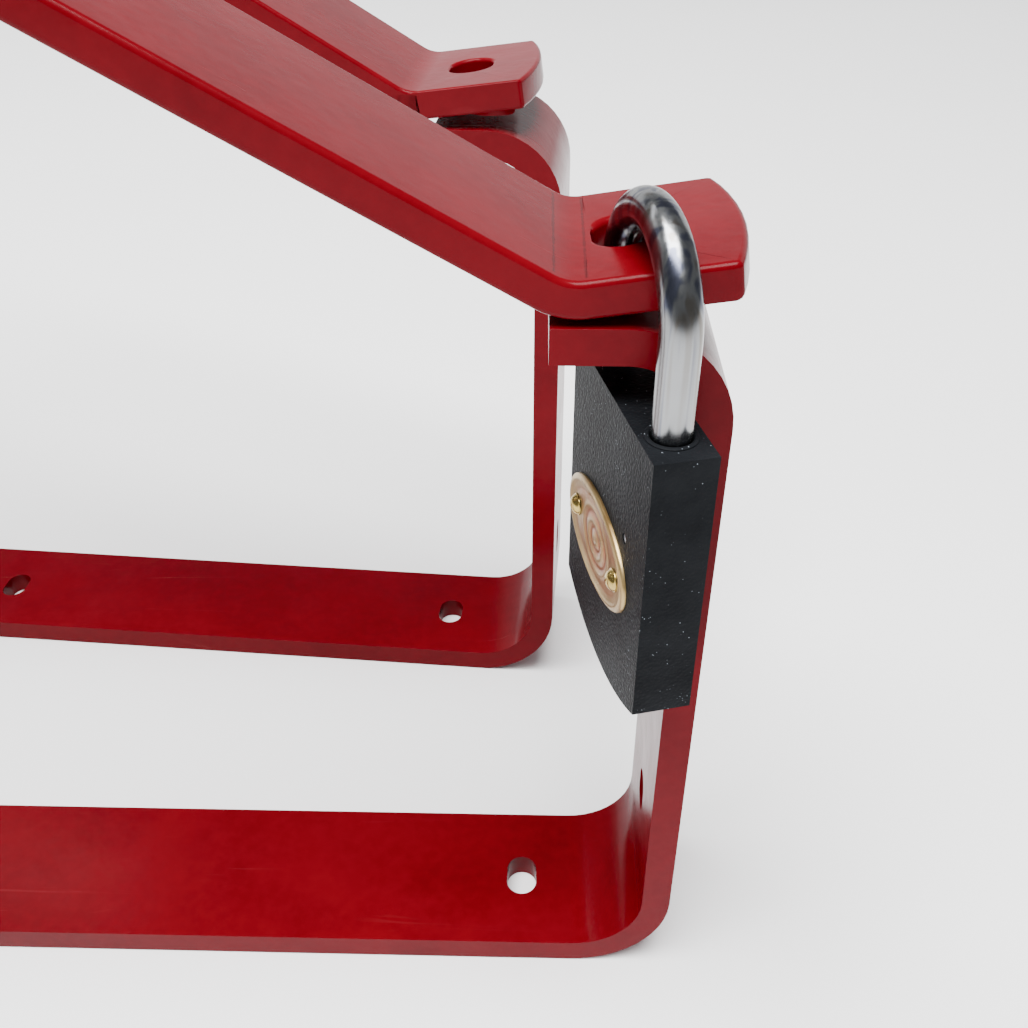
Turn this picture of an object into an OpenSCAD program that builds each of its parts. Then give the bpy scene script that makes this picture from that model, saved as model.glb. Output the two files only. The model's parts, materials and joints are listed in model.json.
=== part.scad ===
// A pair of lockable wall brackets bent from flat bar, as used to store and
// lock a bike or a ladder.  Each has a hinged locking arm, and the front one
// is held shut by a small padlock.
// Units are millimetres.  +X points out from the wall, +Y runs along the wall
// from the front bracket to the rear one, and +Z is up.

/* [Flat bar] */
// width of the flat bar
bar_w = 30; // [28:1:34]
// thickness of the flat bar
bar_t = 5; // [4.5:0.5:5.5]
// height of the hook, from the underside of the bottom arm to the lip
hook_h = 133; // [130:1:150]
// depth of the bracket, from the wall to the outer face of the upright
depth = 290; // [280:1:310]
// outer radius of the two bottom bends
bend_r = 18; // [14:1:22]
// outer radius of the bend between upright and lip
lip_bend_r = 14; // [11:1:15]
// reach of the lip, from the outer face of the upright to its end
lip_l = 23.8; // [23:0.2:26]

/* [Screw holes] */
// narrow width of the short slots in the bottom arm and upright
slot_w = 5.8; // [5:0.1:7]
// long width of the short slots
slot_l = 8.6; // [7.2:0.1:10]
// distance of the outer and inner slots from the ends of the bottom arm
slot_inset = 27.2; // [26:0.2:32]
// height of the slot in the upright
upright_slot_z = 31.6; // [28:0.2:40]
// diameter of the round wall screw holes
wall_hole_d = 7; // [5:0.5:8]
// height of the lower wall screw hole
wall_hole_z = 55; // [40:1:80]
// distance between the two wall screw holes
wall_hole_pitch = 170; // [150:1:180]

/* [Locking arms] */
// slope of the front arm below level
arm_slope = 29.9; // [28:0.1:31]
// rise of the front tab above level
tab_rise = 8.7; // [6:0.1:10]
// distance of the front arm's bend from the outer face of the upright
heel_in = 22.5; // [22:0.1:24]
// gap between the front arm's heel and the lip, at the sharp corner
heel_gap = 0.5; // [0.4:0.1:1.5]
// rise of the rear tab above level
rear_tab_rise = 7.5; // [6:0.1:9]
// distance of the rear arm's bend from the outer face of the upright
rear_heel_in = 29; // [28:0.1:29.5]
// gap between the rear arm's heel and the level of its lip
rear_heel_gap = 1.1; // [0.8:0.1:1.5]
// length of the tab beyond the bend
tab_l = 24.4; // [22:0.2:26]
// inside radius of the arm's bend
heel_r = 6; // [3:0.5:8]
// width of the padlock hole along the tab
lock_hole_x = 8; // [7.8:0.1:8.5]
// width of the padlock hole across the tab
lock_hole_y = 9.5; // [9.2:0.1:12]

/* [Hinge] */
// diameter of the hinge bolt
bolt_d = 8; // [6:1:8]
// outside diameter of the tube welded to the arm
tube_d = 16; // [15:0.5:17]
// length of the tube
tube_l = 20; // [18:1:21]
// thickness of each hinge ear
ear_t = 4; // [3:0.5:4]
// distance of the hinge axis from the wall
hinge_x = 14.5; // [14:0.5:18]

/* [Padlock] */
// width of the padlock body
lock_w = 34.5; // [34:0.5:36]
// thickness of the padlock body
lock_t = 8.4; // [8.2:0.1:8.8]
// height of the padlock body's straight ends
lock_h = 41.5; // [41:0.5:45]
// drop of the rounded bottom below the straight ends
lock_belly = 4.5; // [3:0.5:5]
// diameter of the shackle rod
shackle_d = 5.2; // [4.8:0.1:5.3]
// distance between the shackle legs
leg_pitch = 23; // [22:0.5:23.5]
// height of the straight legs above the body
leg_rise = 12.3; // [12:0.1:15]
// turn of the padlock's width from the X axis
lock_turn = 104; // [100:1:106]

/* [Arrangement] */
// set-back of the rear bracket toward the wall
rear_back = 21.1; // [0:0.1:25]
// distance between the near edges of the two brackets
rear_gap = 78.2; // [60:0.1:120]
// turn of the rear bracket
rear_turn = -4; // [-5:0.1:0]

/* [Hidden] */
$fn = 48;
fit_gap = 0.05;      // radial clearance of a running fit
weld_gap = 0.02;     // radial clearance of a pressed or threaded part
eps = 0.01;
fold_steps = 16;      // facets round the arm's bend
origin_x = 135.62;      // centre of the footprint, from the front wall face
origin_y = 47.15;       // centre of the footprint, from the front centre line

half_w = bar_w / 2;
slot_pitch = (depth - 2 * slot_inset) / 2;

// hinge height, where the front arm's slope carries its middle line
hinge_z = hook_h + heel_gap + (depth - heel_in - hinge_x) * tan(arm_slope)
    + bar_t / 2 / cos(arm_slope);
wall_h = hinge_z + 14;

// each arm's shape: slope, rise of the tab, X and Z of the corner where the
// undersides of arm and tab would meet, and run from there to the padlock hole
front_shape = [arm_slope, tab_rise, depth - heel_in, hook_h + heel_gap, 8.9];
rear_run = depth - rear_heel_in - hinge_x;
rear_drop = hinge_z - hook_h - rear_heel_gap;
rear_slope = atan2(rear_drop, rear_run) - asin(bar_t / 2 / norm([rear_run, rear_drop]));
rear_shape = [rear_slope, rear_tab_rise, depth - rear_heel_in, hook_h + rear_heel_gap, 11.4];
lip_hole_in = 15;    // centre of the lip's hole, from the outer face

// hinge stack along Y
side_gap = 0.6;
ear_in = tube_l / 2 + side_gap;
ear_out = ear_in + ear_t;
ear_r = min(10, hinge_x - bar_t);
bush_d = 11;
washer_t = 1.2;
washer_d = 16;
head_h = 5.3;
nut_h = 7;
hex_af = 13;
hex_r = hex_af / 2 / cos(30);

// padlock geometry, in a frame on the outer leg where it enters the body
lock_pos = [depth - 8.7, -half_w - 6.5, 122];
lock_end = (lock_w - leg_pitch) / 2;
lock_mid = leg_pitch / 2;
shackle_r = shackle_d / 2;
belly_r = lock_w * lock_w / (8 * lock_belly) + lock_belly / 2;
lock_low = lock_h + lock_belly;
long_leg = 30;       // depth of the captive leg in the body
short_leg = 15;      // depth of the free leg in the body
lift = 7;            // travel of the shackle when unlocked
latch_z = -9.7;      // underside of the latch
latch_h = 2.5;
latch_w = 5.2;
latch_bite = 1;      // how far the latch reaches into the leg
pocket_gap = 0.3;
plug_d = 6.4;
plug_top = -13.2;
plug_low = -lock_low + 0.8;
cam_r = 2.4;         // distance of the cam peg from the plug's axis
peg_d = 1.4;
pin_z = [-24, -28.5, -33, -37.5];
pin_d = 1.7;
stop_z = -17;        // height of the shackle's retaining pin
stop_d = 1.5;
groove_r = 1.9;
stop_x = groove_r + 0.1 + stop_d / 2;
badge_x = 14;
badge_z = -25.5;
badge_l = 27.5;
badge_h = 15.4;
badge_t = 0.6;
rivet_pitch = 18.6;
rivet_d = 1.6;

// ---------------------------------------------------------------- helpers

// moves a bracket's own frame to the shared origin
module at_front() {
    translate([-origin_x, -origin_y, 0])
        children();
}

// places the rear bracket behind the front one, set back and turned
module at_rear() {
    at_front()
        translate([depth - rear_back, rear_gap - half_w, 0])
            rotate([0, 0, rear_turn])
                translate([-depth, half_w, 0])
                    children();
}

// the padlock's frame: X across its width, Z up along the legs
module at_lock() {
    at_front()
        translate(lock_pos)
            rotate([0, 0, lock_turn])
                children();
}

// a cylinder along Y, centred on Y = 0
module rod_y(d, l) {
    rotate([90, 0, 0])
        cylinder(d = d, h = l, center = true);
}

// a quarter or part bend of the flat bar in the XZ plane
module bend(cx, cz, r_in, from, to) {
    translate([cx, 0, cz])
        rotate([90, 0, 0])
            rotate([0, 0, from])
                rotate_extrude(angle = to - from, $fn = 96)
                    translate([r_in, -half_w])
                        square([bar_t, bar_w]);
}

// a short slot through a plate, long across Y, cut along Z
module cross_slot(w, l, h) {
    run = (l - w) / 2;
    for (side = [-1, 1])
        translate([0, side * run, 0])
            cylinder(d = w, h = h, center = true);
    translate([-w / 2, -run, -h / 2])
        cube([w, 2 * run, h]);
}

// a coil spring standing on Z = 0, drawn as a stack of joined rings
module coil(d, wire, h, turns) {
    pitch = (h - wire) / (turns - 1);
    rotate_extrude() {
        for (i = [0:turns - 1])
            translate([(d - wire) / 2, wire / 2 + i * pitch])
                circle(d = wire, $fn = 16);
        translate([(d - wire) / 2 - wire / 8, wire / 2])
            square([wire / 4, h - wire]);
    }
}

// ---------------------------------------------------------------- bracket

module frame_bar() {
    top_r = 5;
    // wall plate with two rounded top corners
    translate([0, -half_w, bend_r])
        cube([bar_t, bar_w, wall_h - bend_r - top_r]);
    translate([0, -half_w + top_r, wall_h - top_r - eps])
        cube([bar_t, bar_w - 2 * top_r, top_r + eps]);
    for (side = [-1, 1])
        translate([0, side * (half_w - top_r), wall_h - top_r])
            rotate([0, 90, 0])
                cylinder(r = top_r, h = bar_t);
    bend(bend_r, bend_r, bend_r - bar_t, 180, 270);
    // bottom arm
    translate([bend_r, -half_w, 0])
        cube([depth - 2 * bend_r, bar_w, bar_t]);
    bend(depth - bend_r, bend_r, bend_r - bar_t, 270, 360);
    // upright
    translate([depth - bar_t, -half_w, bend_r])
        cube([bar_t, bar_w, hook_h - bend_r - lip_bend_r]);
    bend(depth - lip_bend_r, hook_h - lip_bend_r, lip_bend_r - bar_t, 0, 90);
    // lip
    translate([depth - lip_l, -half_w, hook_h - bar_t])
        cube([lip_l - lip_bend_r, bar_w, bar_t]);
}

module bracket_frame() {
    cut = 3 * bar_t;
    color([0.55, 0.03, 0.04])
        difference() {
            frame_bar();
            for (i = [0:2])
                translate([slot_inset + i * slot_pitch, 0, bar_t / 2])
                    cross_slot(slot_w, slot_l, cut);
            translate([depth - bar_t / 2, 0, upright_slot_z])
                rotate([0, 90, 0])
                    rotate([0, 0, 90])
                        cross_slot(slot_w, slot_l, cut);
            for (z = [wall_hole_z, wall_hole_z + wall_hole_pitch])
                translate([0, 0, z])
                    rotate([0, 90, 0])
                        cylinder(d = wall_hole_d, h = cut, center = true);
            translate([depth - lip_hole_in, 0, hook_h])
                cross_slot(lock_hole_x + 1.6, lock_hole_y + 2, cut);
        }
}

module hinge_ears() {
    color([0.55, 0.03, 0.04])
        for (side = [-1, 1])
            translate([0, side * (ear_in + ear_t / 2), 0])
                difference() {
                    union() {
                        translate([bar_t, -ear_t / 2, hinge_z - ear_r])
                            cube([hinge_x - bar_t, ear_t, 2 * ear_r]);
                        translate([hinge_x, 0, hinge_z])
                            rod_y(2 * ear_r, ear_t);
                    }
                    translate([hinge_x, 0, hinge_z])
                        rod_y(bolt_d + 2 * fit_gap, ear_t + 1);
                }
}

// points along an arc in the XZ plane
function arc(cx, cz, r, from, to) =
    [for (i = [0:fold_steps])
        let (a = from + (to - from) * i / fold_steps)
            [cx + r * cos(a), cz + r * sin(a)]];

// a point on the arm, run down its slope from the hinge and rise square to it
function on_arm(s, run, rise) =
    [hinge_x + run * cos(s[0]) + rise * sin(s[0]),
     hinge_z - run * sin(s[0]) + rise * cos(s[0])];

// a point on the tab, run along it from the heel and rise square to it
function on_tab(s, run, rise) =
    [s[2] + run * cos(s[1]) - rise * sin(s[1]),
     s[3] + run * sin(s[1]) + rise * cos(s[1])];

// side view of the bent arm, from inside the hinge tube to the tab's end
module arm_profile(s) {
    start = tube_d / 2 - 1;
    r_out = heel_r + bar_t;
    half_fold = (s[0] + s[1]) / 2;
    mid = 90 - s[0] + half_fold;
    cx = s[2] + r_out / cos(half_fold) * cos(mid);
    cz = s[3] + r_out / cos(half_fold) * sin(mid);
    polygon(concat(
        [on_arm(s, start, -bar_t / 2)],
        arc(cx, cz, r_out, 270 - s[0], 270 + s[1]),
        [on_tab(s, tab_l, 0), on_tab(s, tab_l, bar_t)],
        arc(cx, cz, heel_r, 270 + s[1], 270 - s[0]),
        [on_arm(s, start, bar_t / 2)]));
}

module arm_bar(s) {
    neck_w = tube_l - 2;
    neck_l = 15;
    end_r = 50;
    hole = on_tab(s, s[4], bar_t / 2);
    tip = on_tab(s, tab_l - end_r, bar_t / 2);
    difference() {
        intersection() {
            rotate([90, 0, 0])
                linear_extrude(height = bar_w, center = true)
                    arm_profile(s);
            // shallow rounded end, and all of the arm behind it
            union() {
                translate([tip[0], 0, tip[1]])
                    rotate([0, -s[1], 0])
                        cylinder(r = end_r, h = 4 * bar_t, center = true, $fn = 160);
                translate([-20, -bar_w, hook_h - 20])
                    cube([s[2] + 20, 2 * bar_w, wall_h]);
            }
        }
        // the neck that fits between the ears
        translate([hinge_x, 0, hinge_z])
            rotate([0, s[0], 0])
                for (side = [-1, 1])
                    translate([0, side * (neck_w + bar_w) / 2, 0])
                        cube([2 * neck_l, bar_w, 2 * bar_t], center = true);
        // padlock hole in the tab
        translate([hole[0], 0, hole[1]])
            rotate([0, -s[1], 0])
                cross_slot(lock_hole_x, lock_hole_y, 3 * bar_t);
    }
}

module locking_arm(s) {
    color([0.6, 0.04, 0.05])
        difference() {
            arm_bar(s);
            translate([hinge_x, 0, hinge_z])
                rod_y(tube_d, bar_w);
        }
}

module arm_tube() {
    color([0.5, 0.03, 0.04])
        translate([hinge_x, 0, hinge_z])
            difference() {
                rod_y(tube_d, tube_l);
                rod_y(bush_d + 2 * weld_gap, tube_l + 1);
            }
}

module arm_bush() {
    color([0.7, 0.55, 0.3])
        translate([hinge_x, 0, hinge_z])
            difference() {
                rod_y(bush_d, tube_l);
                rod_y(bolt_d + 2 * fit_gap, tube_l + 1);
            }
}

module hinge_bolt() {
    seat = ear_out + washer_t;
    tail = seat + nut_h + 2;
    color([0.75, 0.76, 0.78])
        translate([hinge_x, 0, hinge_z])
            rotate([-90, 0, 0]) {
                translate([0, 0, -seat])
                    cylinder(d = bolt_d, h = seat + tail);
                translate([0, 0, -seat - head_h])
                    intersection() {
                        cylinder(r = hex_r, h = head_h, $fn = 6);
                        union() {
                            translate([0, 0, 0.8])
                                cylinder(r = hex_r + 0.1, h = head_h);
                            cylinder(r1 = hex_r - 0.9, r2 = hex_r + 0.1, h = 0.8);
                        }
                    }
            }
}

module hinge_washers() {
    color([0.7, 0.71, 0.73])
        translate([hinge_x, 0, hinge_z])
            for (side = [-1, 1])
                translate([0, side * (ear_out + washer_t / 2), 0])
                    difference() {
                        rod_y(washer_d, washer_t);
                        rod_y(bolt_d + 0.4, washer_t + 1);
                    }
}

module hinge_nut() {
    seat = ear_out + washer_t;
    collar = 1.8;
    color([0.72, 0.73, 0.75])
        translate([hinge_x, 0, hinge_z])
            rotate([-90, 0, 0])
                translate([0, 0, seat])
                    difference() {
                        union() {
                            cylinder(r = hex_r, h = nut_h - collar, $fn = 6);
                            cylinder(d = hex_af - 1, h = nut_h);
                        }
                        translate([0, 0, -1])
                            cylinder(d = bolt_d + 2 * weld_gap, h = nut_h + 2);
                    }
}

// ---------------------------------------------------------------- padlock

module lock_body() {
    slot_h = latch_h + 2 * pocket_gap;
    color([0.06, 0.06, 0.07])
        at_lock()
            difference() {
                intersection() {
                    translate([-lock_end, -lock_t / 2, -lock_low])
                        cube([lock_w, lock_t, lock_low]);
                    translate([lock_mid, 0, -lock_low + belly_r])
                        rod_y(2 * belly_r, lock_t + 2);
                    // keeps the cylinder from trimming the square shoulders
                    translate([-lock_end, -lock_t, -lock_low])
                        cube([lock_w, 2 * lock_t, lock_low]);
                }
                // leg holes
                translate([0, 0, -long_leg - 12])
                    cylinder(r = shackle_r + 0.08, h = long_leg + 13);
                translate([leg_pitch, 0, -short_leg - 1])
                    cylinder(r = shackle_r + 0.08, h = short_leg + 2);
                for (x = [0, leg_pitch])
                    translate([x, 0, -0.6])
                        cylinder(r1 = shackle_r + 0.08, r2 = shackle_r + 0.9, h = 0.61);
                // plug bore, up to the latch pocket
                translate([lock_mid, 0, -lock_low - 1])
                    cylinder(d = plug_d + 2 * fit_gap, h = lock_low + 1 + latch_z - pocket_gap + eps);
                // latch pocket, from the spring's seat to the free leg
                translate([lock_mid - 8, -latch_w / 2 - pocket_gap, latch_z - pocket_gap])
                    cube([leg_pitch - lock_mid + 8, latch_w + 2 * pocket_gap, slot_h]);
                // round room for the cam peg's swing
                translate([lock_mid, 0, latch_z - pocket_gap])
                    cylinder(r = cam_r + peg_d / 2 + pocket_gap, h = slot_h);
                // driver pin chambers
                for (z = pin_z)
                    translate([lock_mid, 0, z])
                        rotate([0, 90, 0])
                            cylinder(d = pin_d + 0.2, h = 11);
                // retaining pin hole
                translate([stop_x, 0, stop_z])
                    rod_y(stop_d, lock_t + 1);
            }
}

module lock_shackle() {
    notch_lo = latch_z - 3.6;
    notch_hi = latch_z + latch_h + pocket_gap;
    color([0.8, 0.81, 0.83])
        at_lock()
            difference() {
                union() {
                    translate([0, 0, -long_leg])
                        cylinder(r = shackle_r, h = long_leg + leg_rise);
                    translate([leg_pitch, 0, -short_leg])
                        cylinder(r = shackle_r, h = short_leg + leg_rise);
                    translate([lock_mid, 0, leg_rise])
                        rotate([90, 0, 0])
                            rotate_extrude(angle = 180, $fn = 96)
                                translate([lock_mid, 0])
                                    circle(r = shackle_r);
                }
                // turned groove that the retaining pin runs in
                translate([0, 0, stop_z - lift - 1.2])
                    difference() {
                        cylinder(r = shackle_r + 1, h = lift + 2.2);
                        cylinder(r = groove_r, h = lift + 2.2);
                    }
                // latch notch on the inner side of the free leg
                translate([leg_pitch - shackle_r - 1, -shackle_r - 1, notch_lo])
                    cube([2.3, 2 * shackle_r + 2, notch_hi - notch_lo]);
            }
}

module lock_badge() {
    color([0.8, 0.6, 0.35])
        at_lock()
            translate([badge_x, lock_t / 2, badge_z])
                rotate([-90, 0, 0])
                    difference() {
                        scale([badge_l / badge_h, 1, 1])
                            cylinder(d = badge_h, h = badge_t, $fn = 64);
                        for (side = [-1, 1])
                            translate([side * rivet_pitch / 2, 0, -1])
                                cylinder(d = rivet_d + 2 * weld_gap, h = badge_t + 2);
                    }
}

module lock_badge_rivets() {
    color([0.55, 0.42, 0.2])
        at_lock()
            translate([badge_x, lock_t / 2, badge_z])
                rotate([-90, 0, 0])
                    for (side = [-1, 1])
                        translate([side * rivet_pitch / 2, 0, 0]) {
                            cylinder(d = rivet_d, h = badge_t);
                            // domed head, cut from a ball
                            translate([0, 0, badge_t - 1.3])
                                intersection() {
                                    sphere(r = 2.1);
                                    translate([0, 0, 1.3])
                                        cylinder(r = 2, h = 2);
                                }
                        }
}

module lock_plug() {
    keyway_w = 1.3;
    keyway_h = 4.8;
    color([0.75, 0.62, 0.32])
        at_lock()
            translate([lock_mid, 0, 0])
                difference() {
                    translate([0, 0, plug_low])
                        cylinder(d = plug_d, h = plug_top - plug_low);
                    translate([-keyway_h + 2.2, -keyway_w / 2, plug_low - 1])
                        cube([keyway_h, keyway_w, 26]);
                    for (z = pin_z)
                        translate([-1, 0, z])
                            rotate([0, 90, 0])
                                cylinder(d = pin_d + 0.2, h = plug_d);
                }
}

module lock_cam() {
    peg_low = latch_z - pocket_gap - 0.1;
    color([0.6, 0.61, 0.63])
        at_lock()
            translate([lock_mid, 0, 0]) {
                translate([0, 0, plug_top])
                    cylinder(d = plug_d, h = peg_low - plug_top);
                translate([cam_r, 0, peg_low - eps])
                    cylinder(d = peg_d, h = latch_h + pocket_gap);
            }
}

module lock_key_pins() {
    color([0.8, 0.66, 0.35])
        at_lock()
            for (i = [0:3])
                translate([lock_mid + 1.2 + 0.2 * (i % 2), 0, pin_z[i]])
                    rotate([0, 90, 0])
                        cylinder(d = pin_d, h = plug_d / 2 - 1.4 - 0.2 * (i % 2));
}

module lock_driver_pins() {
    color([0.7, 0.71, 0.73])
        at_lock()
            for (z = pin_z)
                translate([lock_mid + plug_d / 2 + 0.1, 0, z])
                    rotate([0, 90, 0])
                        cylinder(d = pin_d, h = 2.6);
}

module lock_pin_springs() {
    color([0.6, 0.6, 0.62])
        at_lock()
            for (z = pin_z)
                translate([lock_mid + plug_d / 2 + 2.8, 0, z])
                    rotate([0, 90, 0])
                        coil(1.7, 0.4, 4.9, 7);
}

module lock_latch() {
    nose = leg_pitch - shackle_r + latch_bite;
    tail = lock_mid - 3.6;
    slot_x = lock_mid + cam_r;
    color([0.7, 0.7, 0.72])
        at_lock()
            difference() {
                translate([tail, -latch_w / 2, latch_z])
                    cube([nose - tail, latch_w, latch_h]);
                translate([slot_x - 1.4, -1.2, latch_z - 1])
                    cube([2.8, latch_w, latch_h + 2]);
            }
}

module lock_latch_spring() {
    color([0.6, 0.6, 0.62])
        at_lock()
            translate([lock_mid - 7.9, 0, latch_z + latch_h / 2])
                rotate([0, 90, 0])
                    coil(2.2, 0.5, 1.75, 4);
}

module lock_shackle_spring() {
    color([0.6, 0.6, 0.62])
        at_lock()
            translate([0, 0, -long_leg - 11.8])
                coil(4.2, 0.7, 11.6, 10);
}

module lock_retaining_pin() {
    color([0.5, 0.5, 0.52])
        at_lock()
            translate([stop_x, 0, stop_z])
                rod_y(stop_d - 2 * weld_gap, lock_t - 0.4);
}

// ---------------------------------------------------------------- nodes

module front_frame() { at_front() bracket_frame(); }
module front_hinge_ears() { at_front() hinge_ears(); }
module front_arm() { at_front() locking_arm(front_shape); }
module front_arm_tube() { at_front() arm_tube(); }
module front_arm_bush() { at_front() arm_bush(); }
module front_hinge_bolt() { at_front() hinge_bolt(); }
module front_hinge_washers() { at_front() hinge_washers(); }
module front_hinge_nut() { at_front() hinge_nut(); }
module rear_frame() { at_rear() bracket_frame(); }
module rear_hinge_ears() { at_rear() hinge_ears(); }
module rear_arm() { at_rear() locking_arm(rear_shape); }
module rear_arm_tube() { at_rear() arm_tube(); }
module rear_arm_bush() { at_rear() arm_bush(); }
module rear_hinge_bolt() { at_rear() hinge_bolt(); }
module rear_hinge_washers() { at_rear() hinge_washers(); }
module rear_hinge_nut() { at_rear() hinge_nut(); }

front_frame();
front_hinge_ears();
front_arm();
front_arm_tube();
front_arm_bush();
front_hinge_bolt();
front_hinge_washers();
front_hinge_nut();
rear_frame();
rear_hinge_ears();
rear_arm();
rear_arm_tube();
rear_arm_bush();
rear_hinge_bolt();
rear_hinge_washers();
rear_hinge_nut();
lock_body();
lock_shackle();
lock_badge();
lock_badge_rivets();
lock_plug();
lock_cam();
lock_key_pins();
lock_driver_pins();
lock_pin_springs();
lock_latch();
lock_latch_spring();
lock_shackle_spring();
lock_retaining_pin();
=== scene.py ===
import json
import math

import bmesh
import bpy
from mathutils import Matrix, Vector


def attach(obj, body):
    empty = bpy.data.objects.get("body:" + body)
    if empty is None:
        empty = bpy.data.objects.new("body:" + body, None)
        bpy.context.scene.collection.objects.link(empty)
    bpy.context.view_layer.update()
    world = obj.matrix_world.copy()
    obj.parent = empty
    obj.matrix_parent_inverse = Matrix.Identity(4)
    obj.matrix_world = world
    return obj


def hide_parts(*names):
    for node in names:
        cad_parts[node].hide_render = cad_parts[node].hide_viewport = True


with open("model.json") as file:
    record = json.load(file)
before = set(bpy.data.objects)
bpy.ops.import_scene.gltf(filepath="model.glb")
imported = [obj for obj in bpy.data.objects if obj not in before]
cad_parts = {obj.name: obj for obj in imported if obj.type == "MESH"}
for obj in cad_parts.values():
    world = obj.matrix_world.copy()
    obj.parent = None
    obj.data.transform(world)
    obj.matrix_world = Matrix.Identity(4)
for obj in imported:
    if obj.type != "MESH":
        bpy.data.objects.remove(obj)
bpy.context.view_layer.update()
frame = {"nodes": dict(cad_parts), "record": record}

# Units: the frame is in metres, and places below are in millimetres times MM.
MM = 0.001

# The padlock's frame: on the outer leg where it enters the body, X across
# the body's width, Y out of its badge side and Z up the legs.
LOCK_POS = Vector((145.68, -68.65, 122.0)) * MM
LOCK_TURN = math.radians(104)
LOCK = Matrix.Translation(LOCK_POS) @ Matrix.Rotation(LOCK_TURN, 4, "Z")
LEG_PITCH = 23.0
LEG_R = 2.6
LEG_RISE = 12.3
LONG_LEG = 30.0
SHORT_LEG = 15.0
GROOVE_TOP = -15.9       # the retaining pin's groove in the captive leg
GROOVE_LOW = -25.3
GROOVE_SLOPE = 0.2
GROOVE_SHARE = 0.73      # its radius as a share of the leg's
BODY_T = 8.4
BADGE_AT = (14.0, BODY_T / 2, -25.5)
BADGE_L = 27.5
BADGE_H = 15.4
BADGE_PLATE = 0.55       # height of the plate's rim and field, before its dish
BADGE_FIELD = 0.84       # where the dished field begins, as a share of the plate
RIVET_PITCH = 18.6

# The front arm's centre line, and where its two folds cross the row's X.
FRONT_ARM_Y = -47.15 * MM
FOLDS_X = (131.03 * MM, 134.93 * MM)
CREASE_HALF_W = 13.5 * MM

# The camera, from the view that the build was matched to.
CAMERA_AT = Vector((129.50, -182.64, 192.53)) * MM
CAMERA_TURN = (35.89, 1.54, 0.19)      # pitch, yaw and roll in degrees
SENSOR_W = 36.0                        # millimetres, like the focal length
FOCAL_LENGTH = 38.3102


# ------------------------------------------------------------ node helpers

class Nodes:
    """Builds one procedural material, node by node."""

    def __init__(self, name):
        self.mat = bpy.data.materials.new(name)
        self.mat.use_nodes = True
        self.tree = self.mat.node_tree
        self.tree.nodes.clear()
        self.out = self.tree.nodes.new("ShaderNodeOutputMaterial")
        self.bsdf = self.tree.nodes.new("ShaderNodeBsdfPrincipled")
        self.link(self.bsdf.outputs[0], self.out.inputs["Surface"])
        self.where = self.tree.nodes.new("ShaderNodeTexCoord").outputs["Object"]

    def link(self, a, b):
        self.tree.links.new(a, b)

    def set(self, **values):
        """Values that are the same all over, put on the shader's own sockets."""
        for key, value in values.items():
            self.bsdf.inputs[key.replace("_", " ")].default_value = value

    def feed(self, socket, source):
        self.link(source, self.bsdf.inputs[socket])

    def scaled(self, factors):
        node = self.tree.nodes.new("ShaderNodeMapping")
        node.inputs["Scale"].default_value = factors
        self.link(self.where, node.inputs["Vector"])
        return node.outputs[0]

    def noise(self, scale, detail=3.0, rough=0.5, distort=0.0, at=None):
        node = self.tree.nodes.new("ShaderNodeTexNoise")
        node.inputs["Scale"].default_value = scale
        node.inputs["Detail"].default_value = detail
        node.inputs["Roughness"].default_value = rough
        node.inputs["Distortion"].default_value = distort
        self.link(at or self.where, node.inputs["Vector"])
        return node.outputs["Fac"]

    def voronoi(self, scale, feature="F1"):
        node = self.tree.nodes.new("ShaderNodeTexVoronoi")
        node.feature = feature
        node.inputs["Scale"].default_value = scale
        self.link(self.where, node.inputs["Vector"])
        return node.outputs["Distance"]

    def ramp(self, source, *stops):
        """Colours, or greys given as numbers, at places from 0 to 1."""
        node = self.tree.nodes.new("ShaderNodeValToRGB")
        ramp = node.color_ramp
        while len(ramp.elements) < len(stops):
            ramp.elements.new(0.5)
        for element, (place, colour) in zip(ramp.elements, stops):
            element.position = place
            grey = isinstance(colour, (int, float))
            element.color = (colour, colour, colour, 1) if grey else (*colour, 1)
        self.link(source, node.inputs[0])
        return node.outputs[0]

    def math(self, op, a, b=None):
        node = self.tree.nodes.new("ShaderNodeMath")
        node.operation = op
        for socket, value in zip(node.inputs, (a, b)):
            if value is None:
                continue
            if isinstance(value, (int, float)):
                socket.default_value = value
            else:
                self.link(value, socket)
        return node.outputs[0]

    def mix(self, factor, a, b):
        node = self.tree.nodes.new("ShaderNodeMix")
        node.data_type = "RGBA"
        for socket, value in ((node.inputs[0], factor), (node.inputs[6], a), (node.inputs[7], b)):
            if isinstance(value, (int, float)):
                socket.default_value = value
            elif isinstance(value, tuple):
                socket.default_value = (*value, 1)
            else:
                self.link(value, socket)
        return node.outputs[2]

    def bump(self, height, strength, distance, normal=None):
        node = self.tree.nodes.new("ShaderNodeBump")
        node.inputs["Strength"].default_value = strength
        node.inputs["Distance"].default_value = distance
        self.link(height, node.inputs["Height"])
        if normal is not None:
            self.link(normal, node.inputs["Normal"])
        return node.outputs[0]

    def axis(self, name):
        """One coordinate of the place, in metres."""
        node = self.tree.nodes.new("ShaderNodeSeparateXYZ")
        self.link(self.where, node.inputs[0])
        return node.outputs[name]

    def attribute(self, name):
        node = self.tree.nodes.new("ShaderNodeAttribute")
        node.attribute_name = name
        return node.outputs["Fac"]


# --------------------------------------------------------------- materials

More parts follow.
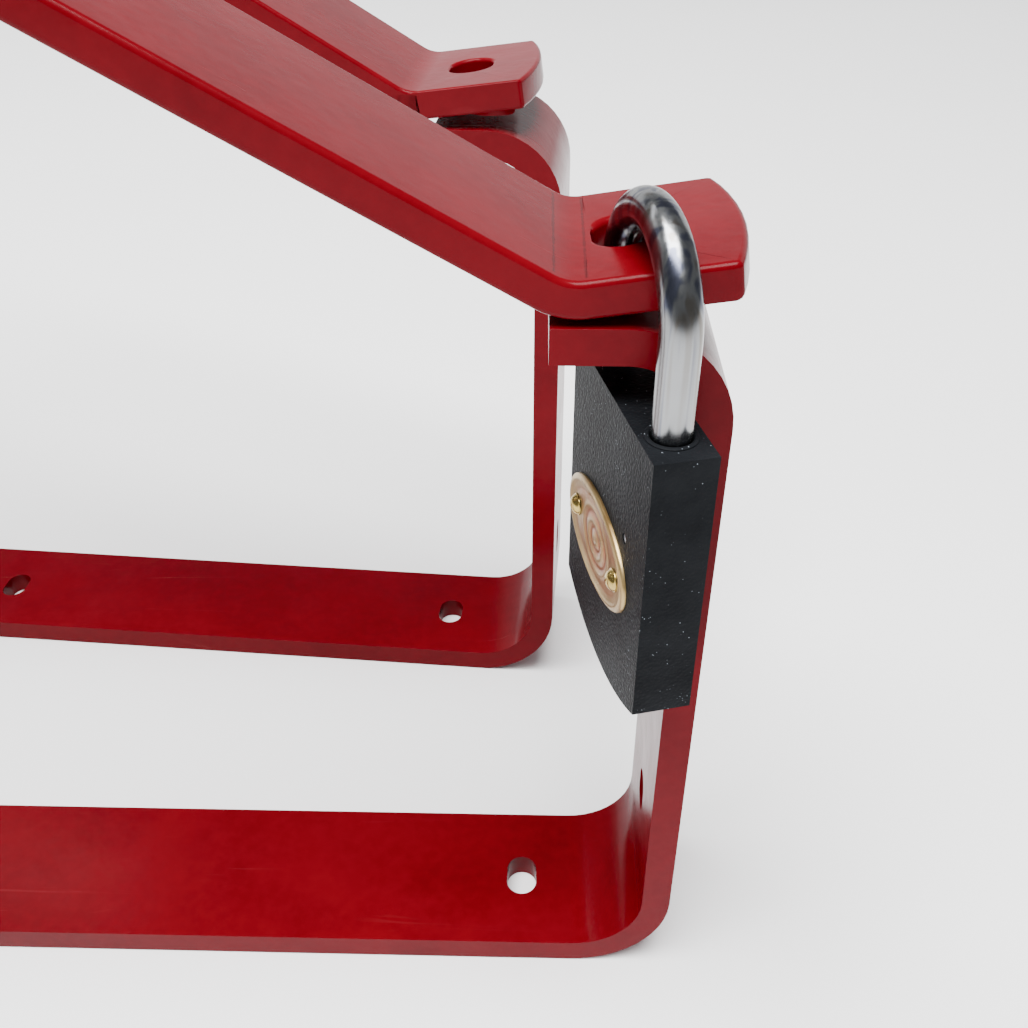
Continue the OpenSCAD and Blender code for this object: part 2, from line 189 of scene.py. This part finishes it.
def red_powder_coat(name="red_powder_coat", creases=()):
    """Deep glossy red with orange peel, cloudy depth, a few dull scuffs and dark lines along the
    folds.

    creases are the X places, in metres, where the bar was folded.
    """
    m = Nodes(name)
    cloud = m.noise(28, 4, 0.6, 0.4)
    fine = m.noise(420, 3, 0.6)
    deep = m.ramp(cloud, (0.35, (0.088, 0.0007, 0.0034)), (0.68, (0.118, 0.0011, 0.0046)))
    colour = m.mix(m.ramp(fine, (0.4, 0.0), (0.75, 0.3)), deep, (0.145, 0.0022, 0.0066))
    # long dull rubs where another bar has slid along the paint
    rub = m.noise(1.0, 5, 0.65, 0.8, at=m.scaled((16, 260, 40)))
    rubbed = m.ramp(rub, (0.63, 0.0), (0.72, 1.0))
    colour = m.mix(m.math("MULTIPLY", rubbed, 0.14), colour, (0.26, 0.035, 0.038))
    for place in creases:
        line = m.math("ABSOLUTE", m.math("SUBTRACT", m.axis("X"), place))
        line = m.math("ADD", line, m.math("MULTIPLY", m.noise(900, 3, 0.7), 0.0005))
        # a near-black line along each fold, put into the colour
        fold_line_dark = m.ramp(m.math("MULTIPLY", line, 1000), (0.32, 0.55), (0.50, 0.0))
        # only on the wide faces, not down the edges
        from_middle = m.math("ABSOLUTE", m.math("SUBTRACT", m.axis("Y"), FRONT_ARM_Y))
        fold_line_dark = m.math("MULTIPLY", fold_line_dark, m.math("LESS_THAN", from_middle, CREASE_HALF_W))
        colour = m.mix(fold_line_dark, colour, (0.030, 0.0014, 0.0020))
    m.feed("Base Color", colour)
    gloss = m.ramp(m.noise(90, 4, 0.6), (0.3, 0.17), (0.7, 0.25))
    m.feed("Roughness", m.math("ADD", gloss, m.math("MULTIPLY", rubbed, 0.12)))
    peel = m.bump(m.noise(560, 2, 0.5), 0.22, 0.00012)
    wave = m.bump(m.noise(110, 2, 0.5), 0.12, 0.0005, peel)
    m.feed("Normal", wave)
    m.set(Specular_IOR_Level=0.06, IOR=1.5)
    return m.mat


def black_enamel():
    """Black wrinkle enamel over a casting, with fine bright specks painted into the colour as glints.
    """
    m = Nodes("black_enamel")
    cells = m.voronoi(2100, "SMOOTH_F1")
    grain = m.noise(3200, 3, 0.6)
    # bright specks: painted glints, sparkle put into the base colour
    specks = m.voronoi(1700, "F1")
    picks = m.noise(420, 2, 0.5)
    painted_glints = m.math("MULTIPLY", m.ramp(specks, (0.05, 1.0), (0.16, 0.0)),
                   m.ramp(picks, (0.55, 0.0), (0.62, 1.0)))
    base = m.ramp(m.noise(120, 4, 0.6), (0.3, (0.0045, 0.0050, 0.0060)),
                  (0.7, (0.0095, 0.0104, 0.0120)))
    m.feed("Base Color", m.mix(painted_glints, base, (0.30, 0.34, 0.38)))
    m.feed("Roughness", m.ramp(grain, (0.3, 0.34), (0.7, 0.52)))
    wrinkle = m.bump(cells, 0.42, 0.00018)
    grit = m.bump(grain, 0.4, 0.00007, wrinkle)
    m.feed("Normal", grit)
    m.set(Specular_IOR_Level=0.022, IOR=1.5)
    return m.mat


def chrome():
    """Polished plating with faint drawn marks, a few pits and painted reflection streaks."""
    m = Nodes("chrome")
    marks = m.noise(1.0, 3, 0.6, at=m.scaled((900, 900, 60)))
    pits = m.ramp(m.voronoi(300), (0.02, 1.0), (0.05, 0.0))
    rare = m.ramp(m.noise(70, 2), (0.62, 0.0), (0.68, 1.0))
    dark = m.math("MULTIPLY", pits, rare)
    steel = m.ramp(m.noise(60, 3), (0.3, (0.19, 0.195, 0.20)), (0.7, (0.27, 0.275, 0.28)))
    # darker blue and brown streaks along the rod: painted reflections, put into the colour
    reflection_streak = m.noise(1.0, 2, 0.5, 0.3, at=m.scaled((420, 420, 14)))
    steel = m.mix(m.ramp(reflection_streak, (0.50, 0.0), (0.58, 0.8)), steel, (0.055, 0.062, 0.105))
    steel = m.mix(m.ramp(reflection_streak, (0.36, 0.6), (0.44, 0.0)), steel, (0.13, 0.108, 0.082))
    m.feed("Base Color", m.mix(dark, steel, (0.05, 0.048, 0.045)))
    m.feed("Roughness", m.ramp(marks, (0.3, 0.17), (0.75, 0.28)))
    m.feed("Normal", m.bump(marks, 0.04, 0.00001))
    m.set(Metallic=1.0)
    return m.mat


def plain_metal(name, light, dark, rough, scale=220.0):
    """Plated or machined metal with turned marks and uneven tone."""
    m = Nodes(name)
    tone = m.noise(scale, 4, 0.6, 0.3)
    marks = m.noise(scale * 5, 2, 0.5)
    m.feed("Base Color", m.ramp(tone, (0.3, dark), (0.7, light)))
    m.feed("Roughness", m.ramp(marks, (0.3, rough - 0.08), (0.7, rough + 0.1)))
    m.feed("Normal", m.bump(marks, 0.12, 0.00008))
    m.set(Metallic=1.0)
    return m.mat


def pressed_badge():
    """Champagne plate with copper showing in the pressed lines."""
    m = Nodes("pressed_badge")
    tone = m.attribute("tone")
    stain = m.noise(260, 4, 0.6, 0.5)
    shine = m.ramp(m.noise(150, 3), (0.3, (0.27, 0.185, 0.070)), (0.7, (0.42, 0.31, 0.14)))
    copper = m.ramp(stain, (0.3, (0.17, 0.040, 0.010)), (0.7, (0.30, 0.090, 0.025)))
    worn = m.math("MULTIPLY", tone, m.ramp(stain, (0.25, 0.55), (0.6, 1.0)))
    m.feed("Base Color", m.mix(worn, shine, copper))
    m.feed("Roughness", m.ramp(stain, (0.3, 0.26), (0.7, 0.44)))
    m.feed("Normal", m.bump(m.noise(900, 3), 0.2, 0.0001))
    m.set(Metallic=0.85)
    return m.mat


RED = red_powder_coat()
RED_FOLDED = red_powder_coat("red_powder_coat_folded", FOLDS_X)
BLACK = black_enamel()
CHROME = chrome()
ZINC = plain_metal("zinc_plate", (0.66, 0.67, 0.70), (0.48, 0.50, 0.53), 0.32)
BRONZE = plain_metal("bronze", (0.55, 0.38, 0.20), (0.40, 0.26, 0.12), 0.36)
BRASS = plain_metal("lock_brass", (0.70, 0.55, 0.25), (0.52, 0.39, 0.15), 0.28)
RIVET = plain_metal("rivet_brass", (0.56, 0.42, 0.14), (0.26, 0.18, 0.05), 0.22, 500.0)
STEEL = plain_metal("inner_steel", (0.60, 0.61, 0.63), (0.42, 0.43, 0.45), 0.35)
BADGE = pressed_badge()

SLOT_LOOK = {
    "red_powder_coat": RED, "bronze": BRONZE, "zinc_steel": ZINC,
    "black_hammered": BLACK, "chrome_steel": CHROME, "badge_metal": BADGE,
    "rivet_brass": RIVET, "lock_brass": BRASS, "inner_steel": STEEL,
}


# ------------------------------------------------------------ mesh helpers

def add_mesh(name, verts, faces, material, body, smooth_angle=35, place=None):
    """A new piece from plain lists, in the row frame, riding on a body."""
    mesh = bpy.data.meshes.new(name)
    mesh.from_pydata([tuple(v) for v in verts], [], faces)
    if place is not None:
        mesh.transform(place)
    mesh.update()
    obj = bpy.data.objects.new(name, mesh)
    bpy.context.scene.collection.objects.link(obj)
    mesh.materials.append(material)
    bm = bmesh.new()
    bm.from_mesh(mesh)
    bmesh.ops.recalc_face_normals(bm, faces=bm.faces)
    bm.to_mesh(mesh)
    bm.free()
    smooth(mesh, smooth_angle)
    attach(obj, body)
    return obj


def smooth(mesh, angle):
    """Smooth shading, with edges sharper than angle kept crisp."""
    mesh.shade_smooth()
    mesh.set_sharp_from_angle(angle=math.radians(angle))


def rings_to_faces(count, sides, closed_ends=True):
    """Quads between count rings of sides points each, with capped ends."""
    faces = []
    for i in range(count - 1):
        for j in range(sides):
            k = (j + 1) % sides
            faces.append((i * sides + j, i * sides + k, (i + 1) * sides + k, (i + 1) * sides + j))
    if closed_ends:
        faces.append(tuple(reversed(range(sides))))
        faces.append(tuple((count - 1) * sides + j for j in range(sides)))
    return faces


def lathe(profile, sides=48):
    """Rings round Z from (radius, height) pairs."""
    verts = []
    for radius, height in profile:
        for j in range(sides):
            a = 2 * math.pi * j / sides
            verts.append(Vector((radius * math.cos(a), radius * math.sin(a), height)))
    return verts, rings_to_faces(len(profile), sides)


def round_edges(node, width, segments=3, angle=30):
    """Gives a CAD piece the soft edges of the real one, within its own shape."""
    obj = frame["nodes"][node]
    obj.data.shade_smooth()
    weld = obj.modifiers.new("weld", "WELD")
    weld.merge_threshold = 0.00001
    bevel = obj.modifiers.new("edge", "BEVEL")
    bevel.width = width * MM
    bevel.segments = segments
    bevel.limit_method = "ANGLE"
    bevel.angle_limit = math.radians(angle)
    bevel.use_clamp_overlap = True
    bevel.harden_normals = True
    flats = obj.modifiers.new("flats", "WEIGHTED_NORMAL")
    flats.mode = "FACE_AREA"
    flats.weight = 100
    return obj


# ------------------------------------------------------- looks of CAD parts

for part in frame["record"]["subparts"]:
    piece = frame["nodes"][part["node"]]
    piece.data.materials.clear()
    piece.data.materials.append(SLOT_LOOK[part["material_slot"]])

frame["nodes"]["front_arm"].data.materials[0] = RED_FOLDED

for side in ("front", "rear"):
    round_edges(side + "_frame", 1.0, 4)
    round_edges(side + "_arm", 1.1, 4)
    round_edges(side + "_hinge_ears", 0.5)
    round_edges(side + "_arm_tube", 0.4)
    round_edges(side + "_arm_bush", 0.2, 2)
    round_edges(side + "_hinge_bolt", 0.3, 2)
    round_edges(side + "_hinge_washers", 0.2, 2)
    round_edges(side + "_hinge_nut", 0.3, 2)
round_edges("lock_body", 0.55, 4)
round_edges("lock_plug", 0.15, 2)


# ------------------------------------------------------------- the shackle

def shackle():
    """A bent rod: captive leg with its turned groove, bow, and free leg."""
    path = [(0.0, -LONG_LEG, 0.0, 0.8), (0.0, -LONG_LEG + 0.5, 0.0, 1.0)]
    groove = ((GROOVE_LOW, 1.0), (GROOVE_LOW + GROOVE_SLOPE, GROOVE_SHARE),
              (GROOVE_TOP - GROOVE_SLOPE, GROOVE_SHARE), (GROOVE_TOP, 1.0))
    for z, share in groove:
        path.append((0.0, z, 0.0, share))
    path.append((0.0, 0.0, 0.0, 1.0))
    path.append((0.0, LEG_RISE * 0.5, 0.0, 1.0))
    mid = LEG_PITCH / 2
    steps = 64
    for i in range(steps + 1):
        a = math.pi * i / steps
        path.append((mid - mid * math.cos(a), LEG_RISE + mid * math.sin(a), a, 1.0))
    path.append((LEG_PITCH, LEG_RISE * 0.5, math.pi, 1.0))
    path.append((LEG_PITCH, 0.0, math.pi, 1.0))
    for z, share in ((-SHORT_LEG + 0.5, 1.0), (-SHORT_LEG, 0.8)):
        path.append((LEG_PITCH, z, math.pi, share))
    sides = 40
    verts = []
    for x, z, turn, share in path:
        # turn runs from 0 going up the captive leg to pi going down the free one
        across = Vector((math.cos(turn), 0, -math.sin(turn)))
        for j in range(sides):
            b = 2 * math.pi * j / sides
            off = across * math.cos(b) + Vector((0, 1, 0)) * math.sin(b)
            verts.append((Vector((x, 0, z)) + off * LEG_R * share) * MM)
    faces = rings_to_faces(len(path), sides)
    obj = add_mesh("shackle_rod", verts, faces, CHROME, "padlock_shackle", 40, LOCK)
    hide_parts("lock_shackle")


shackle()


def leg_collars():
    """Low painted lips round the two leg holes."""
    profile = [(LEG_R + 0.12, -0.5), (LEG_R + 0.16, 0.10), (LEG_R + 0.34, 0.26),
               (LEG_R + 0.62, 0.28), (LEG_R + 0.86, 0.14), (LEG_R + 0.95, -0.5)]
    ring_verts, _ = lathe(profile)
    sides = 48
    faces = rings_to_faces(len(profile), sides, closed_ends=False)
    last = len(profile) - 1
    faces += [(j, last * sides + j, last * sides + (j + 1) % sides, (j + 1) % sides)
              for j in range(sides)]
    for name, x in (("collar_captive_leg", 0.0), ("collar_free_leg", LEG_PITCH)):
        verts = [(v + Vector((x, 0, 0))) * MM for v in ring_verts]
        add_mesh(name, verts, faces, BLACK, "padlock", 50, LOCK)


leg_collars()


# --------------------------------------------------------------- the badge

def badge():
    """Pressed oval plate: rolled rim, dished field and plain oval ridges."""
    rings, sides = 56, 160
    verts, tones = [], []
    for i in range(rings + 1):
        rho = i / rings
        for j in range(sides):
            a = 2 * math.pi * j / sides
            x = rho * BADGE_L / 2 * math.cos(a)
            y = rho * BADGE_H / 2 * math.sin(a)
            h, tone = badge_height(x, y, rho)
            verts.append((x, y, h))
            tones.append(tone)
    faces = rings_to_faces(rings + 1, sides, closed_ends=False)
    faces.append(tuple(reversed(range(sides))))
    # skirt down to the body, and a flat back
    base = len(verts)
    for j in range(sides):
        a = 2 * math.pi * j / sides
        verts.append((BADGE_L / 2 * math.cos(a), BADGE_H / 2 * math.sin(a), 0.0))
        tones.append(0.0)
    edge = rings * sides
    for j in range(sides):
        k = (j + 1) % sides
        faces.append((edge + j, edge + k, base + k, base + j))
    faces.append(tuple(base + j for j in range(sides)))
    # plate X, Y and its height go to the lock's X, Z and Y
    seated = [Vector((BADGE_AT[0] + x, BADGE_AT[1] + h, BADGE_AT[2] + y)) * MM for x, y, h in verts]
    obj = add_mesh("badge_plate", seated, faces, BADGE, "padlock", 60, LOCK)
    layer = obj.data.attributes.new("tone", "FLOAT", "POINT")
    layer.data.foreach_set("value", tones)
    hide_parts("lock_badge")


def badge_height(x, y, rho):
    """Height of the plate and how much copper shows, at one point."""
    rim = BADGE_PLATE + 0.2 * math.exp(-((rho - 0.92) / 0.045) ** 2)
    edge = min(1.0, (1.0 - rho) / 0.03)
    h = rim - 0.25 * (1 - edge) ** 2
    tone = 0.12
    if rho < BADGE_FIELD:
        dish = min(1.0, (BADGE_FIELD - rho) / 0.08)
        h = BADGE_PLATE - 0.16 * dish
        tone = 0.1 + 0.55 * dish
    # plain nested ovals in the middle of the field
    inner = math.hypot(x / (BADGE_L * 0.25), y / (BADGE_H * 0.36))
    if inner < 1.0:
        wave = math.sin(inner * math.pi * 5.0)
        fade = min(1.0, (1.0 - inner) / 0.12)
        h += 0.13 * wave * fade
        tone = 0.62 - 0.42 * wave * fade
    # small bosses under the rivets stay bright
    for side in (-1, 1):
        away = math.hypot(x - side * RIVET_PITCH / 2, y)
        if away < 2.6:
            tone *= max(0.0, away - 1.8) / 0.8
    return h, tone


badge()


def badge_rivets():
    """Two domed rivets with a small flat lip."""
    dome = [(0.02, 1.12), (0.45, 1.08), (0.85, 0.95), (1.2, 0.72), (1.45, 0.42),
            (1.55, 0.2), (1.72, 0.12), (1.74, 0.0), (0.8, -0.05), (0.8, -0.5)]
    verts, faces = [], []
    for side in (-1, 1):
        ring, ring_faces = lathe(dome, 32)
        start = len(verts)
        for v in ring:
            verts.append(Vector((BADGE_AT[0] + side * RIVET_PITCH / 2 + v.x,
                                 BADGE_AT[1] + 0.5 + v.z, BADGE_AT[2] + v.y)) * MM)
        faces += [tuple(start + k for k in f) for f in ring_faces]
    obj = add_mesh("rivet_heads", verts, faces, RIVET, "padlock", 45, LOCK)
    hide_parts("lock_badge_rivets")


badge_rivets()


# ----------------------------------------------------- floor, light, camera

def stage():
    """A wide pale floor just under the brackets."""
    mesh = bpy.data.meshes.new("floor")
    reach = 6.0
    mesh.from_pydata([(-reach, -reach, 0), (reach, -reach, 0), (reach, reach, 0), (-reach, reach, 0)],
                     [], [(0, 1, 2, 3)])
    floor = bpy.data.objects.new("floor", mesh)
    bpy.context.scene.collection.objects.link(floor)
    m = Nodes("floor")
    m.feed("Base Color", m.ramp(m.noise(3, 2), (0.3, (0.92, 0.92, 0.92)), (0.7, (0.95, 0.95, 0.95))))
    m.set(Roughness=0.75, Specular_IOR_Level=0.2)
    mesh.materials.append(m.mat)
    floor.location.z = -0.0002


def area_light(name, place, target, size, power):
    """A soft rectangle of light, which the camera doesn't see."""
    light = bpy.data.lights.new(name, "AREA")
    light.shape = "RECTANGLE"
    light.size, light.size_y = size
    light.energy = power
    obj = bpy.data.objects.new(name, light)
    bpy.context.scene.collection.objects.link(obj)
    obj.location = place
    aim = Vector(target) - Vector(place)
    obj.rotation_euler = aim.to_track_quat("-Z", "Y").to_euler()
    obj.visible_camera = False
    return obj


def studio():
    """Soft light from above and behind, with a little from the side."""
    middle = (0.05, 0.0, 0.12)
    area_light("back_softbox", (0.1, 1.6, 0.5), middle, (3.0, 0.9), 9)
    area_light("top_softbox", (-0.1, -0.35, 1.6), middle, (1.2, 1.0), 105)
    area_light("side_fill", (-1.3, 0.3, 0.9), middle, (0.9, 0.9), 1.5)
    # a narrow strip, seen as a streak along the left of the front bottom arm
    area_light("streak_strip", (-1.35, 1.0, 1.5), (-1.35, 1.0, 0.0), (1.5, 0.09), 5)
    world = bpy.data.worlds.new("studio")
    world.use_nodes = True
    world.node_tree.nodes["Background"].inputs[0].default_value = (0.95, 0.97, 1.0, 1)
    world.node_tree.nodes["Background"].inputs[1].default_value = 0.30
    bpy.context.scene.world = world


def camera():
    """Close above the front upright, looking along the wall and down."""
    pitch, yaw, roll = (math.radians(a) for a in CAMERA_TURN)
    data = bpy.data.cameras.new("camera")
    data.sensor_width = SENSOR_W
    data.lens = FOCAL_LENGTH
    data.clip_start = 0.01
    obj = bpy.data.objects.new("camera", data)
    bpy.context.scene.collection.objects.link(obj)
    turn = Matrix.Rotation(yaw, 4, "Z") @ Matrix.Rotation(math.pi / 2 - pitch, 4, "X")
    obj.matrix_world = Matrix.Translation(CAMERA_AT) @ turn @ Matrix.Rotation(-roll, 4, "Z")
    bpy.context.scene.camera = obj


stage()
studio()
camera()
